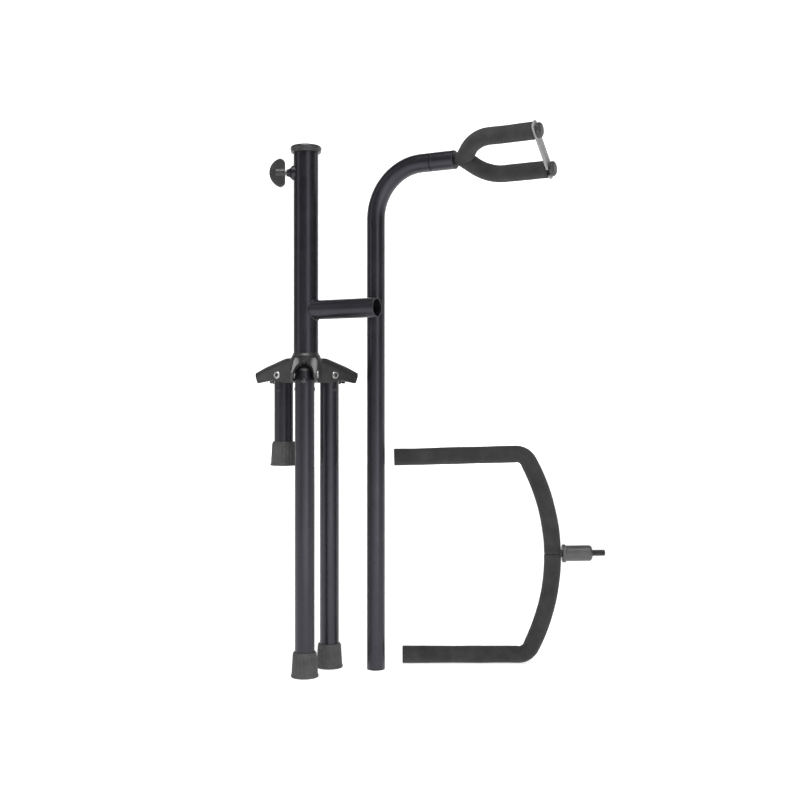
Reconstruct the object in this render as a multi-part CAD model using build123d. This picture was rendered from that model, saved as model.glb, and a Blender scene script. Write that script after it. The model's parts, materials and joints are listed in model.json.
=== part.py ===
from build123d import *
import math
import os

# Single guitar stand, knocked down into tripod base, J-pole with yoke, and body cradle.
# Millimetres, +Z up. Everything is first laid out about the column's axis (x = y = 0, floor at
# z = 0) and is then shifted so that the origin is the bottom centre of the whole set's box.

# ---- driving dimensions -------------------------------------------------------------------
FOLD_AZIMUTH = -28.0          # heading of the socket tube and of the pole's arm, degrees
LEG_AZIMUTH = {"front": -88.0, "right": 32.0, "rear": 152.0}
LEG_OUT = 70.0                # swing from folded to standing, degrees
ROOF_SLOPE = 90.0 - LEG_OUT   # slope of the hub's arms, degrees

COLUMN_OD, COLUMN_WALL = 35.0, 1.5
COLUMN_BOTTOM, COLUMN_TOP = 406.0, 728.5
BUSHING_TOP, BUSHING_LENGTH = 733.0, 58.0
POLE_OD, POLE_WALL = 25.4, 1.5
POLE_FIT = 0.25               # radial play of the pole in the bushing

LEG_OD, LEG_WALL = 27.0, 1.2
PIVOT_R, PIVOT_Z = 37.2, 413.0
LEG_TOP = 5.0                 # tube end above the pivot
FOOT_HEIGHT, FOOT_TOP_D, FOOT_BOTTOM_D = 34.0, 32.0, 37.0
FOOT_FLUTES = 20
SHORT_FOOT_Z = 285.5          # sole of the folded rear leg above the floor

HUB_TOP, HUB_FLOOR = 436.5, 402.0
HUB_CORE_R = 21.0
ARM_REACH = 77.0
ARM_WIDTH, CHANNEL_WIDTH = 34.6, 29.2
ROOF_OUT, ROOF_IN = 19.6, 16.1    # above the pivot, square to the roof
TIP_BOTTOM = 401.3

SOCKET_OD, SOCKET_WALL = 27.0, 1.8
SOCKET_Z, SOCKET_END = 503.4, 114.0
NUT_START, NUT_END, NUT_STEP = 52.0, 64.0, 0.6   # the bore is wider beyond the nut

SCREW_D, SCREW_PITCH = 6.0, 1.0
CLAMP_Z = 695.8
CLAMP_TRAVEL = 4.0            # how far the screw backs out

POLE_X, POLE_Y = 97.7, 8.0
ARM_Z, BEND_R = 705.0, 72.0
STEM_START, STEM_END = 88.0, 124.0
YOKE_ROLL = 40.0              # the yoke has swivelled this far, near arm up
YOKE_DROP = 0.9
ARM_HALF = 31.8               # half the distance between the yoke's arms
YOKE_VERTEX, YOKE_SPREAD, YOKE_BEND_R = 136.0, 50.0, 50.0
FOAM_END, NECK_END, CAP_END = 247.0, 252.0, 258.0
FOAM_OD, CRADLE_FOAM_OD, ROD_OD = 24.0, 25.2, 9.5
GATE_WIDTH, GATE_THICK, GATE_OVERHANG = 16.0, 2.6, 13.0
NECK_D = 8.0

CRADLE_Y = 44.0
CRADLE_TILT = 0.75            # each arm leans in by this much towards its open end
CRADLE_APEX_X = 351.0
CRADLE_BOW_R, CRADLE_CORNER_R = 288.0, 20.0
CRADLE_HALF = 144.0           # half height at the corners, to the rod's centreline
UPPER_END_X, LOWER_END_X = 125.0, 129.0
PLUG_FLANGE, PLUG_SLEEVE, PLUG_STUD = 13.7, 56.5, 75.2    # ends, from the rod's centreline
PLUG_D, FLANGE_D, STUD_D, SHANK_D = 22.8, 26.2, 9.8, 9.0
STUD_NECK = 0.5               # plain neck between the sleeve and the stud's thread

BUTTON_DROP, BUTTON_D, BUTTON_OUT = 9.0, 7.5, 5.5
BUTTON_TRAVEL = 4.5
RIVET_D, RIVET_HEAD_D, RIVET_HEAD = 6.0, 10.0, 1.4
GAP = 0.05                    # between pieces that are pushed or riveted together


# ---- helpers ------------------------------------------------------------------------------
def heading(azimuth):
    """Unit vector in the floor plane."""
    return Vector(math.cos(math.radians(azimuth)), math.sin(math.radians(azimuth)), 0)


def rod_between(start, end, radius):
    """Cylinder from one point to another."""
    start, end = Vector(*start), Vector(*end)
    plane = Plane(origin=start, z_dir=end - start)
    return extrude(plane * Circle(radius), amount=(end - start).length)


def pipe(start, end, outer, inner):
    """Hollow cylinder; the bore goes right through."""
    start, end = Vector(*start), Vector(*end)
    return rod_between(start, end, outer) - rod_between(start, end, inner)


def turned(points, start=(0, 0, 0), direction=(0, 0, 1)):
    """Solid of revolution from (radius, height) points, set on an axis."""
    profile = Plane.XZ * Polygon(*points, align=None)
    solid = revolve(profile, axis=Axis.Z)
    return Plane(origin=Vector(*start), z_dir=Vector(*direction)) * solid


def swept(path, outer, inner=0.0):
    """Round bar or tube along a path."""
    plane = Plane(origin=path @ 0, z_dir=path % 0)
    solid = sweep(plane * Circle(outer), path=path)
    if inner:
        solid -= sweep(plane * Circle(inner), path=path)
    return solid


def radial_plane(azimuth):
    """Plane whose x runs out along the azimuth and whose y is up; z is the sideways direction."""
    out = heading(azimuth)
    return Plane(origin=(0, 0, 0), x_dir=out, z_dir=out.cross(Vector(0, 0, 1)))


FORWARD = heading(FOLD_AZIMUTH)
UP = Vector(0, 0, 1)
NEAR = FORWARD.cross(UP)       # sideways, on the side of the front leg
ARM_SIDE = NEAR * math.cos(math.radians(YOKE_ROLL)) + UP * math.sin(math.radians(YOKE_ROLL))
YOKE_AXIS_POINT = Vector(POLE_X, POLE_Y, ARM_Z - YOKE_DROP)


# ---- column and what is fixed to it --------------------------------------------------------
def column_tube():
    tube = pipe((0, 0, COLUMN_BOTTOM), (0, 0, COLUMN_TOP), COLUMN_OD / 2, COLUMN_OD / 2 - COLUMN_WALL)
    return tube - rod_between((-COLUMN_OD, 0, CLAMP_Z), (0, 0, CLAMP_Z), SCREW_D / 2 + 0.3)


def column_bushing():
    bore = POLE_OD / 2 + POLE_FIT
    sleeve = COLUMN_OD / 2 - COLUMN_WALL - GAP
    skirt = COLUMN_OD / 2 + GAP
    bottom = BUSHING_TOP - BUSHING_LENGTH
    profile = [(bore, bottom), (sleeve, bottom), (sleeve, COLUMN_TOP + GAP), (skirt, COLUMN_TOP + GAP),
               (skirt, 723.8), (20.7, 723.8), (21.0, 724.6), (21.0, 725.6), (20.4, 726.2),
               (21.5, 727.2), (21.9, 728.6), (21.9, 730.4), (21.2, 732.0), (19.6, BUSHING_TOP),
               (bore + 0.8, BUSHING_TOP), (bore, BUSHING_TOP - 0.8)]
    screw_hole = rod_between((-COLUMN_OD, 0, CLAMP_Z), (0, 0, CLAMP_Z), SCREW_D / 2 + 0.3)
    return turned(profile) - screw_hole


BOSS_END = 27.3


def clamp_boss():
    hole = SCREW_D / 2 + 0.06
    profile = [(hole, 14.0), (11.0, 14.0), (10.0, 19.2), (7.6, 21.4), (5.8, 23.6), (5.0, 26.0),
               (5.0, BOSS_END), (hole, BOSS_END)]
    boss = turned(profile, (0, 0, CLAMP_Z), (-1, 0, 0))
    return boss - rod_between((0, 0, 600), (0, 0, 800), COLUMN_OD / 2)


KNOB_FACE = 29.0
KNOB_REACH, KNOB_HALF_HEIGHT, KNOB_THICK = 22.2, 20.0, 9.0


def clamp_screw():
    tip = COLUMN_OD / 2 - 4.0
    screw = rod_between((-tip, 0, CLAMP_Z), (-KNOB_FACE - 12.0, 0, CLAMP_Z), SCREW_D / 2)
    return chamfer(screw.edges().group_by(Axis.X)[-1], 0.8)


def clamp_knob():
    x_face = -KNOB_FACE
    outline = Plane.XZ * make_face([
        Line((x_face, CLAMP_Z - 14.0), (x_face, CLAMP_Z + 14.0)),
        ThreePointArc((x_face, CLAMP_Z + 14.0), (x_face - 3.0, CLAMP_Z + 18.4),
                      (x_face - 7.6, CLAMP_Z + KNOB_HALF_HEIGHT)),
        ThreePointArc((x_face - 7.6, CLAMP_Z + KNOB_HALF_HEIGHT), (x_face - KNOB_REACH, CLAMP_Z),
                      (x_face - 7.6, CLAMP_Z - KNOB_HALF_HEIGHT)),
        ThreePointArc((x_face - 7.6, CLAMP_Z - KNOB_HALF_HEIGHT), (x_face - 3.0, CLAMP_Z - 18.4),
                      (x_face, CLAMP_Z - 14.0)),
    ])
    knob = extrude(outline, amount=KNOB_THICK / 2, both=True)
    knob = fillet(knob.edges().filter_by(Plane.XZ), 2.2)
    knob += rod_between((x_face, 0, CLAMP_Z), (x_face - 13.0, 0, CLAMP_Z), 6.5)
    return knob - rod_between((x_face + 1, 0, CLAMP_Z), (x_face - 12.0 - GAP, 0, CLAMP_Z), SCREW_D / 2 + 0.02)


def socket_tube():
    start = Vector(0, 0, SOCKET_Z)
    end = start + FORWARD * SOCKET_END
    seat = start + FORWARD * NUT_END
    tube = pipe(start, end, SOCKET_OD / 2, SOCKET_OD / 2 - SOCKET_WALL - NUT_STEP)
    tube -= rod_between(seat, end + FORWARD, SOCKET_OD / 2 - SOCKET_WALL)
    return tube - rod_between((0, 0, 450), (0, 0, 550), COLUMN_OD / 2)


def socket_nut():
    base = Vector(0, 0, SOCKET_Z)
    outer = SOCKET_OD / 2 - SOCKET_WALL - NUT_STEP - GAP
    return pipe(base + FORWARD * NUT_START, base + FORWARD * NUT_END, outer, STUD_D / 2 + 0.1)


def hub_collar():
    bore = COLUMN_OD / 2 + GAP
    profile = [(bore, HUB_TOP), (20.6, HUB_TOP), (20.6, 438.0), (20.0, 440.0), (18.6, 442.2),
               (18.2, 443.5), (bore, 443.5)]
    return turned(profile)


def column_plug():
    plug = rod_between((0, 0, COLUMN_BOTTOM), (0, 0, COLUMN_BOTTOM + 16.0), COLUMN_OD / 2 - COLUMN_WALL - GAP)
    return plug - rod_between((0, 0, COLUMN_BOTTOM), (0, 0, COLUMN_BOTTOM + 16.0), SCREW_D / 2 + 0.02)


def hub_washer():
    return pipe((0, 0, HUB_FLOOR - 1.2), (0, 0, HUB_FLOOR), 8.0, SCREW_D / 2 + 0.3)


def hub_screw():
    head = rod_between((0, 0, HUB_FLOOR - 5.2), (0, 0, HUB_FLOOR - 1.2), 5.0)
    head -= extrude(Plane.XY.offset(HUB_FLOOR - 5.2) * RegularPolygon(2.9, 6), amount=2.4)
    return head + rod_between((0, 0, HUB_FLOOR - 1.2), (0, 0, COLUMN_BOTTOM + 13.0), SCREW_D / 2)


# ---- hub ------------------------------------------------------------------------------------
def slope_plane(azimuth):
    """At the pivot: x runs sideways, y is square to the roof, z runs outwards down the slope."""
    out = heading(azimuth)
    lean = math.radians(ROOF_SLOPE)
    down_slope = out * math.cos(lean) - UP * math.sin(lean)
    return Plane(origin=out * PIVOT_R + UP * PIVOT_Z, x_dir=UP.cross(out), z_dir=down_slope)


def barrel(azimuth, width, top, corner, start, end):
    """Bar with a rounded roof, running along the arm's slope."""
    depth = 60.0
    section = Pos(0, top - depth / 2) * Rectangle(width, depth)
    section = fillet(section.vertices().group_by(Axis.Y)[-1], corner)
    plane = slope_plane(azimuth)
    return extrude(plane.offset(start) * section, amount=end - start)


def arm_body(azimuth):
    lean = math.radians(ROOF_SLOPE)
    tip_top = Vector(ARM_REACH, HUB_TOP - (ARM_REACH - 30.0) * math.tan(lean))
    tip_bottom = (ARM_REACH - (tip_top.Y - TIP_BOTTOM) * math.tan(lean), TIP_BOTTOM)
    side = Polygon((0, HUB_FLOOR), (0, HUB_TOP), (30.0, HUB_TOP), (tip_top.X, tip_top.Y), tip_bottom,
                   (45.0, 405.5), (24.0, HUB_FLOOR), align=None)
    side = fillet(side.vertices().sort_by_distance((30.0, HUB_TOP))[0], 42.0)
    side = fillet(side.vertices().sort_by_distance((tip_top.X, tip_top.Y))[0], 3.0)
    side = fillet(side.vertices().sort_by_distance(tip_bottom)[0], 2.0)
    slab = extrude(radial_plane(azimuth) * side, amount=ARM_WIDTH / 2, both=True)
    out = heading(azimuth)
    plan = Plane(origin=out * (ARM_REACH - 50.0) + UP * 380.0, x_dir=out, z_dir=UP) * \
        RectangleRounded(100.0, ARM_WIDTH, 3.0)
    slab &= extrude(plan, amount=80.0)
    return slab & barrel(azimuth, ARM_WIDTH, ROOF_OUT, 12.0, -60.0, 80.0)


def leg_hub():
    hub = rod_between((0, 0, HUB_FLOOR), (0, 0, HUB_TOP), HUB_CORE_R + 2.0)
    for azimuth in LEG_AZIMUTH.values():
        hub += arm_body(azimuth)
    for azimuth in LEG_AZIMUTH.values():
        hub -= channel(azimuth)
    hub -= rod_between((0, 0, COLUMN_BOTTOM), (0, 0, HUB_TOP + 1), COLUMN_OD / 2 + GAP)
    hub -= rod_between((0, 0, HUB_FLOOR - 1), (0, 0, COLUMN_BOTTOM + 1), SCREW_D / 2 + 0.3)
    return hub


def channel(azimuth):
    """Everything that is cut from one arm: the leg's channel, the roof's notch, slot and rivet hole."""
    plane = radial_plane(azimuth)
    inner_wall = Polygon((HUB_CORE_R, 380), (HUB_CORE_R, 440), (120, 440), (120, 380), align=None)
    cut = barrel(azimuth, CHANNEL_WIDTH, ROOF_IN, 11.0, -60.0, 90.0)
    cut &= extrude(plane * inner_wall, amount=CHANNEL_WIDTH, both=True)
    out = heading(azimuth)
    notch_face = Plane(origin=out * 87.0 + UP * 380.0, x_dir=out, z_dir=UP) * Ellipse(37.0, CHANNEL_WIDTH / 2)
    cut += extrude(notch_face, amount=60.0)
    slot_face = Plane(origin=out * 55.0 + UP * 405.0, x_dir=out, z_dir=UP) * SlotOverall(24.0, BUTTON_D + 0.8)
    cut += extrude(slot_face, amount=40.0)
    side = plane.z_dir
    pivot = out * PIVOT_R + UP * PIVOT_Z
    cut += rod_between(pivot - side * 40.0, pivot + side * 40.0, RIVET_D / 2 + GAP)
    tip_mark = out * 59.6 + UP * 408.5 + side * (ARM_WIDTH / 2 - 0.8)
    return cut + rod_between(tip_mark, tip_mark + side * 5.0, 1.6)


def pivot_rivet(azimuth):
    """Tubular rivet across one arm, with a rolled head at each side."""
    plane = radial_plane(azimuth)
    pivot = heading(azimuth) * PIVOT_R + UP * PIVOT_Z
    half = ARM_WIDTH / 2
    r, head = RIVET_D / 2, RIVET_HEAD_D / 2
    hole = 2.4
    profile = [(hole, -half - RIVET_HEAD), (head - 0.7, -half - RIVET_HEAD), (head, -half - 0.7), (head, -half),
               (r, -half), (r, half), (head, half), (head, half + 0.7), (head - 0.7, half + RIVET_HEAD),
               (hole, half + RIVET_HEAD)]
    return turned(profile, pivot, plane.z_dir)


def pivot_washers():
    """A thin washer each side of each leg."""
    rings = []
    inner_face, outer_face = LEG_OD / 2 + 0.12, CHANNEL_WIDTH / 2 - GAP
    for azimuth in LEG_AZIMUTH.values():
        side = radial_plane(azimuth).z_dir
        pivot = heading(azimuth) * PIVOT_R + UP * PIVOT_Z
        for sign in (-1, 1):
            start = pivot + side * (sign * inner_face)
            end = pivot + side * (sign * outer_face)
            rings.append(pipe(start, end, 6.0, RIVET_D / 2 + 0.06))
    return rings


# ---- legs -----------------------------------------------------------------------------------
def leg_axis(azimuth, z):
    return heading(azimuth) * PIVOT_R + UP * z


def leg_tube(azimuth, sole_z):
    bottom, top = sole_z + 4.0, PIVOT_Z + LEG_TOP
    out, side = heading(azimuth), radial_plane(azimuth).z_dir
    tube = pipe(leg_axis(azimuth, bottom), leg_axis(azimuth, top), LEG_OD / 2, LEG_OD / 2 - LEG_WALL)
    pivot = leg_axis(azimuth, PIVOT_Z)
    tube -= rod_between(pivot - side * 20, pivot + side * 20, RIVET_D / 2 + 0.06)
    rivet = leg_axis(azimuth, PIVOT_Z - 20.0)
    tube -= rod_between(rivet - side * 20, rivet + side * 20, 2.0 + GAP)
    button = leg_axis(azimuth, PIVOT_Z - BUTTON_DROP)
    return tube - rod_between(button, button + out * 20, BUTTON_D / 2 + 0.1)


def leg_insert(azimuth):
    """Moulded end of the leg: a plug in the tube, with a rounded cap over its end."""
    out, side = heading(azimuth), radial_plane(azimuth).z_dir
    inside = LEG_OD / 2 - LEG_WALL - GAP
    profile = [(0, -26.0), (inside, -26.0), (inside, LEG_TOP + GAP), (LEG_OD / 2, LEG_TOP + GAP),
               (LEG_OD / 2 - 0.6, LEG_TOP + 1.6), (11.2, LEG_TOP + 3.0), (8.0, LEG_TOP + 3.8), (0, LEG_TOP + 4.2)]
    pivot = leg_axis(azimuth, PIVOT_Z)
    plug = turned(profile, pivot)
    plug -= rod_between(pivot - side * 20, pivot + side * 20, RIVET_D / 2 + 0.06)
    rivet = leg_axis(azimuth, PIVOT_Z - 20.0)
    plug -= rod_between(rivet - side * 20, rivet + side * 20, 2.0 + GAP)
    button = leg_axis(azimuth, PIVOT_Z - BUTTON_DROP)
    return plug - rod_between(button - out * 6.0, button + out * 20, BUTTON_D / 2 + 0.1)


def insert_rivet(azimuth):
    side = radial_plane(azimuth).z_dir
    middle = leg_axis(azimuth, PIVOT_Z - 20.0)
    half = LEG_OD / 2
    head = 0.7
    profile = [(0, -half - head), (1.6, -half - head), (3.1, -half), (2.0, -half), (2.0, half), (3.1, half),
               (1.6, half + head), (0, half + head)]
    return turned(profile, middle, side)


def snap_button(azimuth):
    """Domed button, hollow behind for its spring."""
    out = heading(azimuth)
    r = BUTTON_D / 2
    reach = LEG_OD / 2 + BUTTON_OUT
    profile = [(2.2, 2.5), (r, 2.5), (r, reach - 2.6), (r - 0.5, reach - 1.3), (r - 1.6, reach - 0.4),
               (0, reach), (0, 9.0), (2.2, 9.0)]
    return turned(profile, leg_axis(azimuth, PIVOT_Z - BUTTON_DROP), out)


def button_spring(azimuth):
    """Short closed coil behind the button, drawn as its envelope sleeve at the pressed length."""
    out = heading(azimuth)
    base = leg_axis(azimuth, PIVOT_Z - BUTTON_DROP)
    return pipe(base - out * 5.9, base + out * 4.4, 2.0, 1.5)


def leg_foot(azimuth, sole_z):
    """Tapered rubber foot with upright flutes, a base lip and a socket for the tube."""
    top_r, bottom_r = FOOT_TOP_D / 2, FOOT_BOTTOM_D / 2
    profile = [(0, 0), (bottom_r, 0), (bottom_r + 0.6, 0.9), (bottom_r + 0.6, 2.6), (bottom_r - 0.3, 3.6),
               (top_r + 0.6, FOOT_HEIGHT - 4.0), (top_r + 0.2, FOOT_HEIGHT - 1.6),
               (top_r - 0.8, FOOT_HEIGHT), (0, FOOT_HEIGHT)]
    foot = turned(profile)
    lean = math.degrees(math.atan((bottom_r - top_r) / FOOT_HEIGHT))
    for i in range(FOOT_FLUTES):
        groove = Rot(0, 0, 360.0 / FOOT_FLUTES * i) * Pos(bottom_r + 0.7, 0, 5.2) * Rot(0, -lean, 0) * \
            extrude(Circle(1.6), amount=FOOT_HEIGHT - 11.0)
        foot -= groove
    foot -= Pos(0, 0, 4.0 - GAP) * extrude(Circle(LEG_OD / 2 + GAP), amount=FOOT_HEIGHT)
    place = leg_axis(azimuth, sole_z)
    return Pos(place.X, place.Y, place.Z) * foot


# ---- pole and yoke --------------------------------------------------------------------------
def yoke_point(along, across):
    """Point in the yoke's own plane: distance along the stem, distance towards the near arm."""
    return YOKE_AXIS_POINT + FORWARD * along + ARM_SIDE * across


def pole_tube():
    top = ARM_Z - YOKE_DROP
    foot = Vector(POLE_X, POLE_Y, 0)
    corner = Vector(POLE_X, POLE_Y, top)
    path = FilletPolyline(foot, corner, corner + FORWARD * STEM_START, radius=BEND_R)
    return swept(path, POLE_OD / 2, POLE_OD / 2 - POLE_WALL)


def swivel_pin():
    """Pin fixed in the pole's end; the yoke's stem turns on it."""
    inside = POLE_OD / 2 - POLE_WALL - GAP
    profile = [(0, STEM_START - 11.0), (inside, STEM_START - 11.0), (inside, STEM_START),
               (6.0, STEM_START), (6.0, STEM_END - 12.0), (0, STEM_END - 12.0)]
    return turned(profile, YOKE_AXIS_POINT, FORWARD)


def yoke_stem():
    profile = [(6.06, STEM_START + 0.3), (POLE_OD / 2 - 1.0, STEM_START + 0.3), (POLE_OD / 2, STEM_START + 1.2),
               (POLE_OD / 2, STEM_END - 1.0), (POLE_OD / 2 - 1.0, STEM_END), (0, STEM_END),
               (0, STEM_END - 11.5), (6.06, STEM_END - 11.5)]
    return turned(profile, YOKE_AXIS_POINT, FORWARD)


def yoke_path(sign, end, start=0.0):
    """Half of the fork: out from the stem's axis, round a wide bend, then straight forward."""
    spread = math.radians(YOKE_SPREAD)
    corner = YOKE_VERTEX + ARM_HALF / math.tan(spread)
    first = yoke_point(YOKE_VERTEX + start * math.cos(spread), sign * start * math.sin(spread))
    return FilletPolyline(first, yoke_point(corner, sign * ARM_HALF), yoke_point(end, sign * ARM_HALF),
                          radius=YOKE_BEND_R)


def yoke_fork():
    fork = swept(yoke_path(1, FOAM_END), ROD_OD / 2) + swept(yoke_path(-1, FOAM_END), ROD_OD / 2)
    fork += Pos(*yoke_point(YOKE_VERTEX, 0)) * Sphere(ROD_OD / 2 + 1.0)
    fork += rod_between(yoke_point(STEM_END, 0), yoke_point(YOKE_VERTEX, 0), 7.0)
    for sign in (-1, 1):
        fork += rod_between(yoke_point(FOAM_END, sign * ARM_HALF), yoke_point(CAP_END - 2, sign * ARM_HALF),
                            NECK_D / 2)
    return fork


def yoke_foam(sign):
    """Foam sleeve on one arm, cut where it meets the other at the stem."""
    foam = swept(yoke_path(sign, FOAM_END - 0.1), FOAM_OD / 2)
    side = ARM_SIDE * sign
    wall = Plane(origin=YOKE_AXIS_POINT + FORWARD * YOKE_VERTEX + side * 0.4, x_dir=FORWARD, z_dir=side * -1)
    foam -= extrude(wall * Rectangle(160, 80), amount=40)
    back = Plane(origin=YOKE_AXIS_POINT + FORWARD * (STEM_END + 0.2), x_dir=UP, z_dir=FORWARD * -1)
    foam -= extrude(back * Rectangle(120, 120), amount=40)
    foam -= rod_between(yoke_point(STEM_END - 1, 0), yoke_point(YOKE_VERTEX, 0), 7.0 + GAP)
    foam -= Pos(*yoke_point(YOKE_VERTEX, 0)) * Sphere(ROD_OD / 2 + 1.0 + GAP)
    return foam - swept(yoke_path(sign, FOAM_END + 5), ROD_OD / 2 + GAP)


def yoke_cap(sign):
    """Disc that closes an arm and keeps the gate bar on its neck."""
    profile = [(NECK_D / 2 + 0.02, NECK_END), (9.2, NECK_END), (10.0, NECK_END + 0.8), (10.0, NECK_END + 3.4),
               (8.8, CAP_END - 1.0), (6.0, CAP_END), (0, CAP_END), (0, CAP_END - 2 + 0.02),
               (NECK_D / 2 + 0.02, CAP_END - 2 + 0.02)]
    return turned(profile, YOKE_AXIS_POINT + ARM_SIDE * (sign * ARM_HALF), FORWARD)


def gate_bar():
    """Flat bar across the yoke's mouth: a pivot hole at the near arm, a hook over the far arm's neck."""
    plane = Plane(origin=yoke_point((FOAM_END + NECK_END - GATE_THICK) / 2, 0), x_dir=ARM_SIDE, z_dir=FORWARD)
    length = 2 * (ARM_HALF + GATE_OVERHANG)
    face = RectangleRounded(length, GATE_WIDTH, 5.0)
    face -= Pos(ARM_HALF, 0) * Circle(NECK_D / 2 + 0.06)
    face -= Pos(-ARM_HALF, 0) * Circle(NECK_D / 2 + 0.9)
    face -= Pos(-ARM_HALF, gate_open_side() * GATE_WIDTH / 2) * Rectangle(NECK_D + 1.8, GATE_WIDTH)
    bar = extrude(plane * face, amount=GATE_THICK)
    groove = plane.offset(GATE_THICK - 0.7) * SlotOverall(2 * ARM_HALF - 14.0, 5.0)
    return bar - extrude(groove, amount=2.0)


def gate_open_side():
    """-1 or 1: which edge of the bar its hook opens on. It is the lower one."""
    across = FORWARD.cross(ARM_SIDE)
    return -1 if across.Z > 0 else 1


# ---- cradle ---------------------------------------------------------------------------------
def cradle_corner():
    """Centre of the corner arc, in the cradle's own symmetric frame (x to its back, y up)."""
    lean = math.radians(CRADLE_TILT)
    along = Vector(math.cos(lean), math.sin(lean))
    inward = Vector(math.sin(lean), -math.cos(lean))
    start = Vector(0, CRADLE_HALF - 240.0 * math.tan(lean)) + inward * CRADLE_CORNER_R
    reach = CRADLE_BOW_R - CRADLE_CORNER_R
    half_b = start.dot(along)
    travel = -half_b + math.sqrt(half_b ** 2 - start.dot(start) + reach ** 2)
    centre = start + along * travel
    return centre, centre - inward * CRADLE_CORNER_R, centre * (CRADLE_BOW_R / reach)


def cradle_frame():
    """Plane of the cradle: origin at the bow's centre, x to the back. It is tilted to lie level below."""
    lean = math.radians(CRADLE_TILT)
    _, on_arm, _ = cradle_corner()
    low = Vector(on_arm.X, -on_arm.Y)
    drop = low.X * math.sin(lean) + low.Y * math.cos(lean)
    origin = Vector(CRADLE_APEX_X - CRADLE_BOW_R * math.cos(lean), CRADLE_Y, CRADLE_FOAM_OD / 2 - drop)
    return Plane(origin=origin, x_dir=(math.cos(lean), 0, math.sin(lean)), z_dir=(0, -1, 0))


def cradle_path(sign, end_x, from_angle=0.0):
    """Half of the U: from the back's middle, round the corner, to the free end of one arm."""
    _, on_arm, on_bow = cradle_corner()
    centre, _, _ = cradle_corner()
    lean = math.radians(CRADLE_TILT)
    plane = cradle_frame()
    end = Vector((end_x - plane.origin.X) / math.cos(lean) + (1 - sign) * 2.0, 0)
    end.Y = on_arm.Y - (on_arm.X - end.X) * math.tan(lean)
    start = Vector(CRADLE_BOW_R * math.cos(from_angle), CRADLE_BOW_R * math.sin(from_angle))
    turn = math.atan2(on_bow.Y, on_bow.X)
    mid_angle = (turn + from_angle) / 2
    mid_bow = Vector(CRADLE_BOW_R * math.cos(mid_angle), CRADLE_BOW_R * math.sin(mid_angle))
    corner_mid = centre + ((on_bow - centre).normalized() + (on_arm - centre).normalized()).normalized() \
        * CRADLE_CORNER_R

    def place(point):
        return plane.from_local_coords(Vector(point.X, sign * point.Y, 0))

    return Wire([
        Edge.make_three_point_arc(place(start), place(mid_bow), place(on_bow)),
        Edge.make_three_point_arc(place(on_bow), place(corner_mid), place(on_arm)),
        Edge.make_line(place(on_arm), place(end)),
    ])


def cradle_axis(distance):
    """Point on the plug's axis, at a distance behind the rod's centreline."""
    return cradle_frame().from_local_coords(Vector(CRADLE_BOW_R + distance, 0, 0))


CRADLE_ENDS = {1: UPPER_END_X, -1: LOWER_END_X}
ROD_SHORT = 4.0               # the rod stops this far inside the foam's end
SEAM_HALF = 0.15              # half the gap where the two foam sleeves meet, mm


def cradle_rod():
    rod = None
    for sign, end_x in CRADLE_ENDS.items():
        half = swept(cradle_path(sign, end_x + ROD_SHORT), ROD_OD / 2)
        rod = half if rod is None else rod + half
    return rod + rod_between(cradle_axis(0), cradle_axis(PLUG_FLANGE), 5.5)


def cradle_foam(sign):
    foam = swept(cradle_path(sign, CRADLE_ENDS[sign], SEAM_HALF / CRADLE_BOW_R), CRADLE_FOAM_OD / 2)
    foam -= swept(cradle_path(sign, CRADLE_ENDS[sign] - 2.0), ROD_OD / 2 + GAP)
    return foam - rod_between(cradle_axis(-2), cradle_axis(PLUG_FLANGE), 5.5 + GAP)


def rod_cap(sign):
    """Small plastic cap on the bare rod's end, just inside the foam."""
    end_x = CRADLE_ENDS[sign]
    path = cradle_path(sign, end_x + ROD_SHORT)
    direction = path % 1
    start = path @ 1
    return rod_between(start, start + direction * 2.5, ROD_OD / 2)


def plug_sleeve():
    r = PLUG_D / 2
    length = PLUG_SLEEVE - PLUG_FLANGE
    profile = [(0, 0), (FLANGE_D / 2 - 0.8, 0), (FLANGE_D / 2, 0.8), (FLANGE_D / 2, 4.4),
               (FLANGE_D / 2 - 1.0, 5.2), (r, 5.8), (r, length - 3.6), (r - 0.9, length - 1.4),
               (r - 3.2, length), (0, length)]
    frame = cradle_frame()
    sleeve = turned(profile, cradle_axis(PLUG_FLANGE), frame.x_dir)
    return sleeve - rod_between(cradle_axis(PLUG_SLEEVE - 15.0), cradle_axis(PLUG_SLEEVE + 1), SHANK_D / 2 + GAP)


def plug_stud():
    length = PLUG_STUD - PLUG_SLEEVE + 15.0 - GAP
    buried = 15.0 - GAP + STUD_NECK
    profile = [(0, 0), (SHANK_D / 2, 0), (SHANK_D / 2, buried), (STUD_D / 2, buried),
               (STUD_D / 2, length - 1.2), (STUD_D / 2 - 1.2, length), (0, length)]
    return turned(profile, cradle_axis(PLUG_SLEEVE - 15.0 + GAP), cradle_frame().x_dir)


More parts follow.
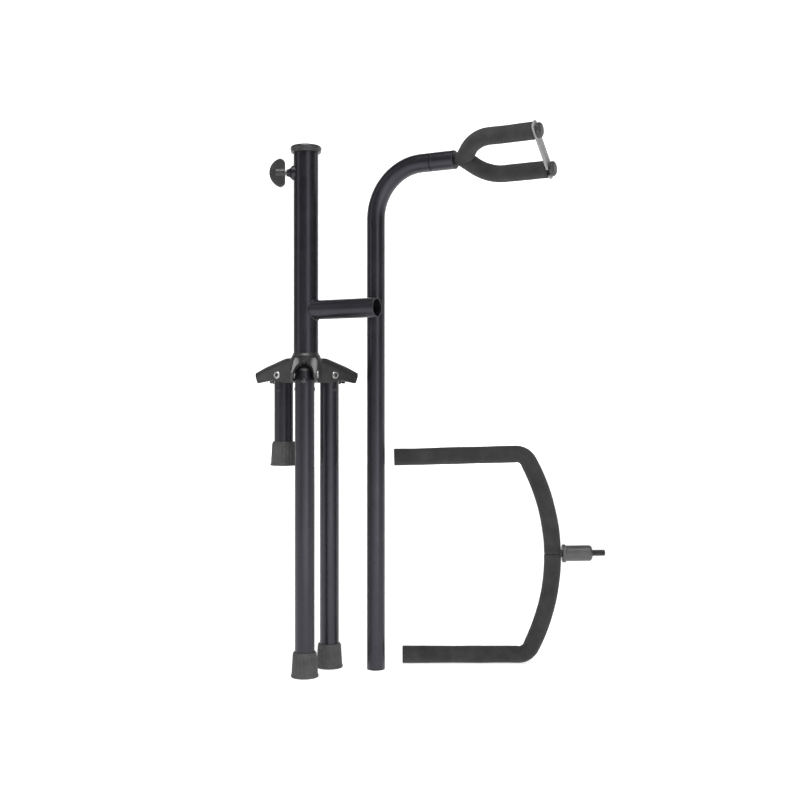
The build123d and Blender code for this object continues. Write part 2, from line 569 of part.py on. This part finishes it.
# ---- the whole set --------------------------------------------------------------------------
def build_nodes():
    nodes = {
        "column_tube": column_tube(),
        "column_bushing": column_bushing(),
        "clamp_boss": clamp_boss(),
        "clamp_screw": clamp_screw(),
        "clamp_knob": clamp_knob(),
        "socket_tube": socket_tube(),
        "socket_nut": socket_nut(),
        "hub_collar": hub_collar(),
        "column_plug": column_plug(),
        "hub_screw": hub_screw(),
        "hub_washer": hub_washer(),
        "leg_hub": leg_hub(),
        "pivot_washers": pivot_washers(),
        "pole_tube": pole_tube(),
        "swivel_pin": swivel_pin(),
        "yoke_stem": yoke_stem(),
        "yoke_fork": yoke_fork(),
        "gate_bar": gate_bar(),
        "cradle_rod": cradle_rod(),
        "plug_sleeve": plug_sleeve(),
        "plug_stud": plug_stud(),
    }
    for side, azimuth in LEG_AZIMUTH.items():
        sole_z = SHORT_FOOT_Z if side == "rear" else 0.0
        nodes[side + "_leg_tube"] = leg_tube(azimuth, sole_z)
        nodes[side + "_leg_insert"] = leg_insert(azimuth)
        nodes[side + "_insert_rivet"] = insert_rivet(azimuth)
        nodes[side + "_foot"] = leg_foot(azimuth, sole_z)
        nodes[side + "_pivot_rivet"] = pivot_rivet(azimuth)
        nodes[side + "_snap_button"] = snap_button(azimuth)
        nodes[side + "_button_spring"] = button_spring(azimuth)
    for side, sign in (("near", 1), ("far", -1)):
        nodes[side + "_yoke_foam"] = yoke_foam(sign)
        nodes[side + "_yoke_cap"] = yoke_cap(sign)
    for side, sign in (("upper", 1), ("lower", -1)):
        nodes[side + "_cradle_foam"] = cradle_foam(sign)
        nodes[side + "_rod_cap"] = rod_cap(sign)
    return nodes


def as_compound(shape):
    if isinstance(shape, list):
        return Compound([solid for item in shape for solid in item.solids()])
    return shape


NODES = {name: as_compound(shape) for name, shape in build_nodes().items()}
whole = Compound([solid for shape in NODES.values() for solid in shape.solids()]).bounding_box()
ORIGIN_SHIFT = Vector(-(whole.min.X + whole.max.X) / 2, -(whole.min.Y + whole.max.Y) / 2, -whole.min.Z)

os.makedirs("parts", exist_ok=True)
for name, shape in NODES.items():
    export_step(Pos(*ORIGIN_SHIFT) * shape, f"parts/{name}.step")
print("origin shift", ORIGIN_SHIFT, "size", whole.size)
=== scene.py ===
import json
import math

import bmesh
import bpy
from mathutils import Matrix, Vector, noise


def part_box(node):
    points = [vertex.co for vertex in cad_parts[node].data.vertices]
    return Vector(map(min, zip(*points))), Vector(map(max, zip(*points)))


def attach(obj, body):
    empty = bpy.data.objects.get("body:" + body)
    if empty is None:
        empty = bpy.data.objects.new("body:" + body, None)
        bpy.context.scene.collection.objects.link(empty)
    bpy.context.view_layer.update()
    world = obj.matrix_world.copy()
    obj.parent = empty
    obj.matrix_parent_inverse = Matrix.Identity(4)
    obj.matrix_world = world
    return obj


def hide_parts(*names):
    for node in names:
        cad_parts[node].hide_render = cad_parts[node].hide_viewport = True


# Looks for a knocked-down guitar stand: foam sleeves, threads, weld beads and materials, built
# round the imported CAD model. Sizes are in metres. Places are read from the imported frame.

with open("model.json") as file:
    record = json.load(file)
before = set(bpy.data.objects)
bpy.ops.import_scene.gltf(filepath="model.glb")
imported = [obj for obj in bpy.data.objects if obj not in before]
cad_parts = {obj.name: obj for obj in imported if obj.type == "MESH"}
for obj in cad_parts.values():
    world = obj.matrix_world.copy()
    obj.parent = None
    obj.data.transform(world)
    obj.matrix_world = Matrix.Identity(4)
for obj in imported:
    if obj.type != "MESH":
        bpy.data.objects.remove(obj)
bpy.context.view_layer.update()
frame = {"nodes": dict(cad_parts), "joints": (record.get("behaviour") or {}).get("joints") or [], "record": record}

# ---- sizes that the looks share with the design (metres) ------------------------------------
MM = 0.001
YOKE_FOAM_R, CRADLE_FOAM_R = 12.0 * MM, 12.6 * MM
FOAM_BORE_R = 4.9 * MM
YOKE_VERTEX = 48.0 * MM            # past the swivel joint, along the stem, where the arms part
YOKE_SPREAD = math.radians(50.0)
YOKE_BEND_R = 50.0 * MM
YOKE_FOAM_END = 159.0 * MM
STEM_FACE = 36.0 * MM
SEAM = 0.4 * MM                    # half the gap where the two yoke sleeves meet
YOKE_OVERLAP = 14 * MM             # how far each yoke sleeve starts before the vertex, to be cut at the seam
STEM_GAP = 0.3 * MM                # between the stem's face and the yoke foam
YOKE_STEP, CRADLE_STEP = 1.3 * MM, 1.6 * MM       # spacing of the rings along the foam
BOW_R, CORNER_R = 288.0 * MM, 20.0 * MM
CRADLE_TILT = math.radians(0.75)
CRADLE_HALF = 144.0 * MM
CRADLE_REACH = 0.240               # from the bow's centre to where CRADLE_HALF is measured
CRADLE_SEAM = 0.3 * MM             # half the gap where the two cradle sleeves meet
CRADLE_END_GAP = 0.2 * MM
APEX_BEHIND_SLEEVE, APEX_TO_SLEEVE_MID = 13.7 * MM, 35.0 * MM
CORNER_STEPS = 26
FOAM_LIP, FOAM_SHRINK = 0.9 * MM, 0.35 * MM       # rounding of the cut ends; slack inside the CAD solid
WRINKLE_PITCH, CREASE_DEPTH = 5.2 * MM, 0.9 * MM
THREAD_DEPTH = 0.61                # of the pitch
RINGS_PER_TURN = 10
WELD_STEPS, WELD_SIDES, WELD_RIPPLES = 220, 12, 26
COLUMN_R, SOCKET_R = 17.5 * MM, 13.5 * MM
STUD_R, STUD_PITCH = 4.9 * MM, 1.5 * MM
SCREW_R, SCREW_PITCH = 3.0 * MM, 1.0 * MM
WELD_R = 1.5 * MM
SIDES = 64


# ---- frame lookups --------------------------------------------------------------------------
def joint(name):
    return next(j for j in frame["joints"] if j["name"] == name)


def box_centre(node):
    low, high = (Vector(corner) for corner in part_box(node))
    return (low + high) / 2


COLUMN = box_centre("column_tube")
SWIVEL = Vector(joint("yoke_swivel")["pos_m"])
FORWARD = Vector(joint("yoke_swivel")["axis"]).normalized()
NEAR_NECK = Vector(joint("gate_swing")["pos_m"])
ARM_OFFSET = (NEAR_NECK - SWIVEL) - FORWARD * (NEAR_NECK - SWIVEL).dot(FORWARD)
UP = Vector((0, 0, 1))


# ---- materials ------------------------------------------------------------------------------
class Paint:
    """A node tree with one shader, built up step by step."""

    def __init__(self, name):
        self.material = bpy.data.materials.new(name)
        self.material.use_nodes = True
        self.tree = self.material.node_tree
        self.shader = next(n for n in self.tree.nodes if n.type == "BSDF_PRINCIPLED")
        self.place = self.tree.nodes.new("ShaderNodeTexCoord").outputs["Object"]
        self.height = None

    def set(self, **values):
        for name, value in values.items():
            self.shader.inputs[name.replace("_", " ")].default_value = value

    def noise(self, scale, detail=3.0, rough=0.5):
        node = self.tree.nodes.new("ShaderNodeTexNoise")
        node.inputs["Scale"].default_value = scale
        node.inputs["Detail"].default_value = detail
        node.inputs["Roughness"].default_value = rough
        self.tree.links.new(self.place, node.inputs["Vector"])
        return node.outputs["Fac"]

    def cells(self, scale):
        node = self.tree.nodes.new("ShaderNodeTexVoronoi")
        node.inputs["Scale"].default_value = scale
        self.tree.links.new(self.place, node.inputs["Vector"])
        return node.outputs["Distance"]

    def ramp(self, value, stops):
        node = self.tree.nodes.new("ShaderNodeValToRGB")
        first, last = node.color_ramp.elements[0], node.color_ramp.elements[1]
        first.position, first.color = stops[0][0], (*stops[0][1], 1)
        last.position, last.color = stops[-1][0], (*stops[-1][1], 1)
        for position, colour in stops[1:-1]:
            node.color_ramp.elements.new(position).color = (*colour, 1)
        self.tree.links.new(value, node.inputs["Fac"])
        return node.outputs["Color"]

    def remap(self, value, low, high, from_low=0.3, from_high=0.7):
        node = self.tree.nodes.new("ShaderNodeMapRange")
        node.inputs["From Min"].default_value = from_low
        node.inputs["From Max"].default_value = from_high
        node.inputs["To Min"].default_value = low
        node.inputs["To Max"].default_value = high
        self.tree.links.new(value, node.inputs["Value"])
        return node.outputs["Result"]

    def mix(self, factor, a, b):
        node = self.tree.nodes.new("ShaderNodeMix")
        node.data_type = "RGBA"
        self.tree.links.new(factor, node.inputs["Factor"])
        for value, socket in ((a, node.inputs["A"]), (b, node.inputs["B"])):
            if isinstance(value, tuple):
                socket.default_value = (*value, 1)
            else:
                self.tree.links.new(value, socket)
        return node.outputs["Result"]

    def soften_edges(self, radius=0.5 * MM):
        """Sharp edges shade as if they were rounded; gives 1 along them and 0 elsewhere."""
        rounded = self.tree.nodes.new("ShaderNodeBevel")
        rounded.samples = 4
        rounded.inputs["Radius"].default_value = radius
        self.height = rounded.outputs["Normal"]
        geometry = self.tree.nodes.new("ShaderNodeNewGeometry")
        match = self.tree.nodes.new("ShaderNodeVectorMath")
        match.operation = "DOT_PRODUCT"
        self.tree.links.new(self.height, match.inputs[0])
        self.tree.links.new(geometry.outputs["Normal"], match.inputs[1])
        return self.remap(match.outputs["Value"], 0.0, 1.0, 0.995, 0.90)

    def bump(self, value, strength, distance):
        node = self.tree.nodes.new("ShaderNodeBump")
        node.inputs["Strength"].default_value = strength
        node.inputs["Distance"].default_value = distance
        self.tree.links.new(value, node.inputs["Height"])
        if self.height is not None:
            self.tree.links.new(self.height, node.inputs["Normal"])
        self.height = node.outputs["Normal"]
        self.tree.links.new(self.height, self.shader.inputs["Normal"])

    def colour(self, value):
        self.tree.links.new(value, self.shader.inputs["Base Color"])

    def roughness(self, value):
        self.tree.links.new(value, self.shader.inputs["Roughness"])


def grey(value, tint=(1.0, 1.0, 1.0)):
    return tuple(value * part for part in tint)


def powder_coat():
    """Satin black paint with a fine orange peel, thinner and greyer along edges."""
    paint = Paint("powder_coat")
    cool = (1.0, 0.97, 1.12)
    base = paint.ramp(paint.noise(26, 4), [(0.35, grey(0.006, cool)), (0.65, grey(0.010, cool))])
    paint.colour(paint.mix(paint.soften_edges(0.4 * MM), base, grey(0.03)))
    paint.roughness(paint.remap(paint.noise(90, 5), 0.28, 0.38))
    paint.set(Specular_IOR_Level=0.62, Specular_Tint=(0.88, 0.85, 1.0, 1))
    paint.bump(paint.noise(1100, 2), 0.035, 0.0003)
    return paint.material


def foam_skin():
    """Closed-cell foam: matte, finely pored, with faint mottling from handling; the pores carry painted shade,
    darker inside each cell.
    """
    paint = Paint("foam_skin")
    handled = grey(0.042, (1.02, 1, 1.04))
    mottled = paint.ramp(paint.noise(38, 5, 0.6), [(0.3, grey(0.022)), (0.7, handled)])
    pores = paint.cells(1500)
    # painted shade: inside each pore the colour is darkened towards grey(0.010), as shade in a recess
    paint.colour(paint.mix(paint.remap(pores, 1.0, 0.0, 0.0, 0.35), mottled, grey(0.010)))
    paint.roughness(paint.remap(paint.noise(60), 0.80, 0.95))
    paint.set(Specular_IOR_Level=0.30, Sheen_Weight=0.06, Sheen_Roughness=0.6)
    paint.bump(paint.noise(55, 4), 0.30, 0.0014)
    paint.bump(paint.noise(420, 5, 0.65), 0.45, 0.0006)
    paint.bump(pores, 0.35, 0.0004)
    return paint.material


def foot_rubber():
    """Moulded rubber with a dusty bloom and scuffed lips."""
    paint = Paint("foot_rubber")
    base = paint.ramp(paint.noise(70, 5), [(0.3, grey(0.048)), (0.7, grey(0.078))])
    paint.colour(paint.mix(paint.soften_edges(0.6 * MM), base, grey(0.12)))
    paint.roughness(paint.remap(paint.noise(150), 0.58, 0.74))
    paint.set(Specular_IOR_Level=0.4)
    paint.bump(paint.noise(900, 4), 0.18, 0.0004)
    return paint.material


def moulded_plastic(name, low, high, rough, edge):
    """Satin moulding with a spark-eroded grain."""
    paint = Paint(name)
    base = paint.ramp(paint.noise(55, 4), [(0.3, grey(low)), (0.7, grey(high))])
    paint.colour(paint.mix(paint.soften_edges(), base, grey(edge)))
    paint.roughness(paint.remap(paint.noise(240, 4), rough - 0.06, rough + 0.08))
    paint.set(Specular_IOR_Level=0.45)
    paint.bump(paint.cells(1300), 0.16, 0.0003)
    paint.bump(paint.noise(240, 3), 0.08, 0.0005)
    return paint.material


def steel(name, low, high, rough):
    """Plated or blackened steel, lightly brushed and dulled."""
    paint = Paint(name)
    paint.colour(paint.ramp(paint.noise(420, 5), [(0.3, grey(low)), (0.7, grey(high, (1, 1, 1.02)))]))
    paint.roughness(paint.remap(paint.noise(700, 4), rough - 0.05, rough + 0.12))
    paint.set(Metallic=1.0)
    paint.bump(paint.noise(1500, 2), 0.10, 0.0002)
    return paint.material


MATERIALS = {
    "black_paint": powder_coat(),
    "foam": foam_skin(),
    "foot_rubber": foot_rubber(),
    "moulded_black": moulded_plastic("moulded_black", 0.026, 0.040, 0.34, 0.09),
    "nylon": moulded_plastic("nylon", 0.48, 0.56, 0.5, 0.6),
    "grey_plastic": moulded_plastic("grey_plastic", 0.24, 0.31, 0.4, 0.42),
    "grey_sleeve": moulded_plastic("grey_sleeve", 0.060, 0.082, 0.36, 0.14),
    "bright_steel": steel("plated_steel", 0.42, 0.62, 0.30),
    "dark_steel": steel("dark_steel", 0.09, 0.15, 0.34),
}


SLOTS = {part["node"]: part["material_slot"] for part in frame["record"]["subparts"]}


def finish_cad_nodes():
    """Every CAD node takes the material of its slot."""
    for name, obj in frame["nodes"].items():
        obj.data.materials.clear()
        obj.data.materials.append(MATERIALS[SLOTS[name]])


# ---- mesh building --------------------------------------------------------------------------
def new_piece(name, bm, like_node, body, replaces=True):
    """Object from a bmesh, with its body and the material of a CAD node, which it may replace."""
    slot_name = SLOTS[like_node]
    bmesh.ops.recalc_face_normals(bm, faces=bm.faces)
    mesh = bpy.data.meshes.new(name)
    bm.to_mesh(mesh)
    bm.free()
    mesh.shade_smooth()
    mesh.materials.append(MATERIALS[slot_name])
    obj = bpy.data.objects.new(name, mesh)
    bpy.context.scene.collection.objects.link(obj)
    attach(obj, body)
    if replaces:
        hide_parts(like_node)
    return obj


def rounded_route(points, radius, step):
    """Points along straight runs joined by one round corner, evenly spaced."""
    first, corner, last = points
    before, after = (first - corner).normalized(), (last - corner).normalized()
    half_turn = (math.pi - before.angle(after)) / 2
    tangent = radius * math.tan(half_turn)
    start, end = corner + before * tangent, corner + after * tangent
    centre = corner + (before + after).normalized() * (radius / math.cos(half_turn))
    turns = max(8, int(2 * half_turn * radius / step))
    arc = []
    for i in range(turns + 1):
        arc.append(centre + spherical_mix(start - centre, end - centre, i / turns))
    return run(first, start, step) + arc[:-1] + run(end, last, step) + [last]


def spherical_mix(a, b, part):
    """Vector between two of equal length, turning evenly from one to the other."""
    angle = a.angle(b)
    return (a * math.sin((1 - part) * angle) + b * math.sin(part * angle)) / math.sin(angle)


def run(start, end, step):
    """Evenly spaced points of a straight run, without its end."""
    count = max(1, int((end - start).length / step))
    return [start.lerp(end, i / count) for i in range(count)]


def carried_frames(points):
    """A tangent and two side vectors at each point, carried along without twisting."""
    frames = []
    tangent = (points[1] - points[0]).normalized()
    side = tangent.orthogonal().normalized()
    for i, point in enumerate(points):
        ahead, behind = points[min(i + 1, len(points) - 1)], points[max(i - 1, 0)]
        tangent = (ahead - behind).normalized()
        side = (side - tangent * side.dot(tangent)).normalized()
        frames.append((tangent, side, tangent.cross(side)))
    return frames


def ring(bm, centre, side, up, radius_at):
    verts = []
    for k in range(SIDES):
        angle = 2 * math.pi * k / SIDES
        direction = side * math.cos(angle) + up * math.sin(angle)
        verts.append(bm.verts.new(centre + direction * radius_at(angle, direction)))
    return verts


def bridge(bm, a, b):
    for k in range(SIDES):
        bm.faces.new((a[k], a[(k + 1) % SIDES], b[(k + 1) % SIDES], b[k]))


def foam_sleeve(route, foam_r, seed, cuts=()):
    """Foam tube on a bent rod: soft outside, wrinkles inside the bends, and squarely cut ends.

    cuts holds planes (point, normal); what lies behind a plane is trimmed away."""
    bm = bmesh.new()
    frames = carried_frames(route)
    lengths = [0.0]
    for a, b in zip(route, route[1:]):
        lengths.append(lengths[-1] + (b - a).length)
    bends = []
    for i in range(len(route)):
        before, after = frames[max(i - 3, 0)][0], frames[min(i + 3, len(route) - 1)][0]
        span = lengths[min(i + 3, len(route) - 1)] - lengths[max(i - 3, 0)]
        bends.append((after - before) / span)
    offset = Vector((seed * 3.7, seed * 1.9, seed * 5.3))

    def outer(i):
        def radius_at(_, direction):
            point = route[i] + direction * foam_r
            inside = max(0.0, direction.dot(bends[i]) * foam_r)
            ripple_shift = 2 * noise.noise(point * 90 + offset)
            wrinkle = math.sin(lengths[i] / WRINKLE_PITCH * 2 * math.pi + ripple_shift)
            crease = -CREASE_DEPTH * min(1.0, inside * 2.2) ** 1.4 * (0.5 + 0.5 * wrinkle)
            broad = 0.50 * MM * noise.noise(point * 26 + offset)
            fine = 0.10 * MM * noise.noise(point * 120 + offset)
            return foam_r - FOAM_SHRINK + (broad + fine) + crease
        return radius_at

    def bore(*_):
        return FOAM_BORE_R

    def end_ring(i, shift, radius_at):
        tangent, side, up = frames[i]
        return ring(bm, route[i] + tangent * shift, side, up, radius_at)

    def lipped(i, part):
        return lambda angle, direction: outer(i)(angle, direction) - FOAM_LIP * part

    last = len(route) - 1
    rings = [end_ring(0, 0.0, bore),
             end_ring(0, 0.0, lipped(0, 1.0)),
             end_ring(0, FOAM_LIP * 0.35, lipped(0, 0.3))]
    for i in range(1, last):
        rings.append(end_ring(i, 0.0, outer(i)))
    rings += [end_ring(last, -FOAM_LIP * 0.35, lipped(last, 0.3)),
              end_ring(last, 0.0, lipped(last, 1.0)),
              end_ring(last, 0.0, bore),
              end_ring(last, -4 * MM, bore)]
    for a, b in zip(rings, rings[1:]):
        bridge(bm, a, b)
    for edge_ring in (rings[0], rings[-1]):
        bm.faces.new(edge_ring)
    for point, normal in cuts:
        cut = bmesh.ops.bisect_plane(bm, geom=bm.verts[:] + bm.edges[:] + bm.faces[:], plane_co=point,
                                     plane_no=normal, clear_inner=True)
        edges = [e for e in cut["geom_cut"] if isinstance(e, bmesh.types.BMEdge)]
        bmesh.ops.holes_fill(bm, edges=edges, sides=0)
    return bm


# ---- yoke foam ------------------------------------------------------------------------------
def yoke_foams():
    half = ARM_OFFSET.length
    arm = ARM_OFFSET.normalized()
    corner = YOKE_VERTEX + half / math.tan(YOKE_SPREAD)
    for name, sign in (("near", 1), ("far", -1)):
        side = arm * sign
        before_vertex = SWIVEL + FORWARD * (YOKE_VERTEX - YOKE_OVERLAP)
        start = before_vertex - side * (YOKE_OVERLAP * math.tan(YOKE_SPREAD))
        bend = SWIVEL + FORWARD * corner + side * half
        end = SWIVEL + FORWARD * YOKE_FOAM_END + side * half
        route = rounded_route([start, bend, end], YOKE_BEND_R, YOKE_STEP)
        cuts = [(SWIVEL + side * SEAM, side), (SWIVEL + FORWARD * (STEM_FACE + STEM_GAP), FORWARD)]
        bm = foam_sleeve(route, YOKE_FOAM_R, sign + 2, cuts)
        piece = new_piece(f"{name}_yoke_padding", bm, f"{name}_yoke_foam", "yoke")


# ---- cradle foam ----------------------------------------------------------------------------
def cradle_foams():
    """Two sleeves on the bent U, meeting at a seam in the middle of its back."""
    low, high = (Vector(c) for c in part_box("plug_sleeve"))
    back = Vector((low.x, (low.y + high.y) / 2, (low.z + high.z) / 2))
    lean = math.tan(CRADLE_TILT)
    along = Vector((math.cos(CRADLE_TILT), 0, math.sin(CRADLE_TILT)))
    across = Vector((-math.sin(CRADLE_TILT), 0, math.cos(CRADLE_TILT)))
    apex = back - along * APEX_BEHIND_SLEEVE
    apex.z = back.z - APEX_TO_SLEEVE_MID * math.sin(CRADLE_TILT)
    centre = apex - along * BOW_R
    for name, sign, seed in (("upper", 1, 5), ("lower", -1, 8)):
        arm_dir = Vector((math.cos(CRADLE_TILT), math.sin(CRADLE_TILT)))
        inward = Vector((math.sin(CRADLE_TILT), -math.cos(CRADLE_TILT)))
        start = Vector((0, CRADLE_HALF - CRADLE_REACH * lean)) + inward * CORNER_R
        reach = BOW_R - CORNER_R
        ahead = start.dot(arm_dir)
        corner = start + arm_dir * (-ahead + math.sqrt(ahead ** 2 - start.dot(start) + reach ** 2))
        on_arm, on_bow = corner - inward * CORNER_R, corner * (BOW_R / reach)

        def place(u, v):
            return centre + along * u + across * (sign * v)

        turn = math.atan2(on_bow.y, on_bow.x)
        bow_steps = int(BOW_R * turn / CRADLE_STEP)
        first = CRADLE_SEAM / BOW_R
        route = [place(BOW_R * math.cos(a), BOW_R * math.sin(a))
                 for a in (first + (turn - first) * i / bow_steps for i in range(bow_steps))]
        begin, finish = on_bow - corner, on_arm - corner
        for i in range(CORNER_STEPS):
            p = corner + spherical_mix(begin.to_3d(), finish.to_3d(), i / CORNER_STEPS).to_2d()
            route.append(place(p.x, p.y))
        end_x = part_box(f"{name}_cradle_foam")[0][0]
        tangent_point = place(on_arm.x, on_arm.y)
        direction = (place(on_arm.x - 1, on_arm.y - lean) - tangent_point).normalized()
        end = tangent_point + direction * ((end_x + CRADLE_END_GAP - tangent_point.x) / direction.x)
        route += run(tangent_point, end, CRADLE_STEP) + [end]
        bm = foam_sleeve(route, CRADLE_FOAM_R, seed)
        piece = new_piece(f"{name}_cradle_padding", bm, f"{name}_cradle_foam", "cradle")


# ---- threads --------------------------------------------------------------------------------
def threaded_rod(start, direction, length, radius, pitch):
    """Screw with a real helical thread and chamfered ends."""
    bm = bmesh.new()
    side = direction.orthogonal().normalized()
    up = direction.cross(side)
    depth = THREAD_DEPTH * pitch
    steps = int(length / pitch * RINGS_PER_TURN)
    rings = []
    for i in range(steps + 1):
        along = length * i / steps

        def radius_at(angle, _, along=along):
            phase = (along / pitch - angle / (2 * math.pi)) % 1.0
            wave = min(1.0, abs(phase - 0.5) * 2.4)
            edge = min(along, length - along)
            limit = radius - max(0.0, pitch * 0.8 - edge)
            return min(radius - depth * wave, limit)

        rings.append(ring(bm, start + direction * along, side, up, radius_at))
    for a, b in zip(rings, rings[1:]):
        bridge(bm, a, b)
    bm.faces.new(rings[0])
    bm.faces.new(rings[-1])
    return bm


def threads():
    low, high = (Vector(c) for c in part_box("plug_stud"))
    along = Vector((math.cos(CRADLE_TILT), 0, math.sin(CRADLE_TILT)))
    middle = (low + high) / 2
    length = (high.x - low.x) / along.x
    stud = threaded_rod(middle - along * length / 2, along, length, STUD_R, STUD_PITCH)
    new_piece("stud_thread", stud, "plug_stud", "cradle")
    low, high = (Vector(c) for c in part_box("clamp_screw"))
    start = Vector((high.x, (low.y + high.y) / 2, (low.z + high.z) / 2))
    screw = threaded_rod(start, Vector((-1, 0, 0)), high.x - low.x, SCREW_R, SCREW_PITCH)
    new_piece("clamp_screw_thread", screw, "clamp_screw", "clamp_screw")


# ---- weld bead ------------------------------------------------------------------------------
def weld_bead():
    """Rippled bead where the socket tube meets the column."""
    bm = bmesh.new()
    level = box_centre("socket_tube").z
    base = Vector((COLUMN.x, COLUMN.y, level))
    side = FORWARD.cross(UP)
    rows = []
    for i in range(WELD_STEPS):
        angle = 2 * math.pi * i / WELD_STEPS
        offset = side * math.cos(angle) + UP * math.sin(angle)
        across = SOCKET_R * math.cos(angle)
        on_column = base + offset * SOCKET_R + FORWARD * math.sqrt(COLUMN_R ** 2 - across ** 2)
        ripple = 1.0 + 0.13 * math.sin(angle * WELD_RIPPLES) + 0.12 * noise.noise(on_column * 300)
        outward = (FORWARD + offset).normalized()
        along = FORWARD.cross(offset)
        width = outward.cross(along)
        row = []
        for k in range(WELD_SIDES):
            a = 2 * math.pi * k / WELD_SIDES
            direction = outward * math.cos(a) + width * math.sin(a)
            row.append(bm.verts.new(on_column + direction * WELD_R * ripple))
        rows.append(row)
    for i in range(WELD_STEPS):
        a, b = rows[i], rows[(i + 1) % WELD_STEPS]
        for k in range(WELD_SIDES):
            after = (k + 1) % WELD_SIDES
            bm.faces.new((a[k], a[after], b[after], b[k]))
    new_piece("socket_weld", bm, "socket_tube", "base", replaces=False)


# ---- stage ----------------------------------------------------------------------------------
CAMERA_DISTANCE = 1.600
CAMERA_SIDE, CAMERA_HEIGHT = 0.1316, 0.378
SENSOR, FRAME_WIDTH = 36.0, 1.120       # the view is this wide, in metres, at the column
FLOOR_LEVEL, FLOOR_REACH = -0.3 * MM, 14.0
BACKDROP_HALF, BACKDROP_Y, BACKDROP_TOP = 6.0, 5.0, 5.0


def softbox(name, azimuth, distance, height, size, radiance, aim_height=0.38):
    """Upright rectangular light, placed by its bearing from the camera's side; radiance is 1 for white."""
    data = bpy.data.lights.new(name, "AREA")
    data.shape, data.size, data.size_y = "RECTANGLE", *size
    data.energy = radiance * math.pi * size[0] * size[1]
    obj = bpy.data.objects.new(name, data)
    turn = math.radians(azimuth)
    obj.location = (distance * math.sin(turn), -distance * math.cos(turn), height)
    aim = Vector((0, 0, aim_height))
    obj.rotation_euler = (aim - obj.location).to_track_quat("-Z", "Y").to_euler()
    bpy.context.scene.collection.objects.link(obj)


def stage_sheet(name, corners, glow):
    """Plain white sheet that glows a little, so that it shows as white."""
    mesh = bpy.data.meshes.new(name)
    mesh.from_pydata(corners, [], [(0, 1, 2, 3)])
    paint = Paint(name)
    paint.colour(paint.ramp(paint.noise(1.5), [(0.0, grey(0.78)), (1.0, grey(0.80))]))
    paint.set(Roughness=0.9, Specular_IOR_Level=0.0, Emission_Color=(1, 1, 1, 1), Emission_Strength=glow)
    mesh.materials.append(paint.material)
    obj = bpy.data.objects.new(name, mesh)
    bpy.context.scene.collection.objects.link(obj)


def stage():
    level, reach = FLOOR_LEVEL, FLOOR_REACH
    half, back, top = BACKDROP_HALF, BACKDROP_Y, BACKDROP_TOP
    floor = [(-reach, -reach, level), (reach, -reach, level), (reach, reach, level), (-reach, reach, level)]
    wall = [(-half, back, level), (half, back, level), (half, back, top), (-half, back, top)]
    stage_sheet("floor", floor, 0.72)
    stage_sheet("backdrop", wall, 1.0)
    world = bpy.data.worlds.new("studio")
    world.use_nodes = True
    background = world.node_tree.nodes["Background"]
    background.inputs["Color"].default_value = (1, 1, 1.02, 1)
    background.inputs["Strength"].default_value = 0.06
    bpy.context.scene.world = world
    softbox("key", 22, 2.4, 1.0, (1.05, 2.4), 1.6)
    softbox("left_strip", -74, 2.2, 0.9, (0.26, 2.2), 2.6)
    softbox("right_strip", 104, 2.0, 0.8, (0.3, 2.2), 2.4)
    softbox("top", -12, 1.1, 2.7, (1.8, 1.4), 7.0)
    softbox("low", 8, 0.95, 0.02, (1.3, 0.4), 1.5, aim_height=0.5)
    bpy.context.scene.view_settings.view_transform = "Standard"


def camera():
    data = bpy.data.cameras.new("camera")
    data.sensor_width = SENSOR
    data.lens = SENSOR * CAMERA_DISTANCE / FRAME_WIDTH
    obj = bpy.data.objects.new("camera", data)
    obj.location = (COLUMN.x + CAMERA_SIDE, COLUMN.y - CAMERA_DISTANCE, CAMERA_HEIGHT)
    obj.rotation_euler = (math.pi / 2, 0, 0)
    bpy.context.scene.collection.objects.link(obj)
    bpy.context.scene.camera = obj


camera()
finish_cad_nodes()
yoke_foams()
cradle_foams()
threads()
weld_bead()
stage()

bpy.context.view_layer.update()
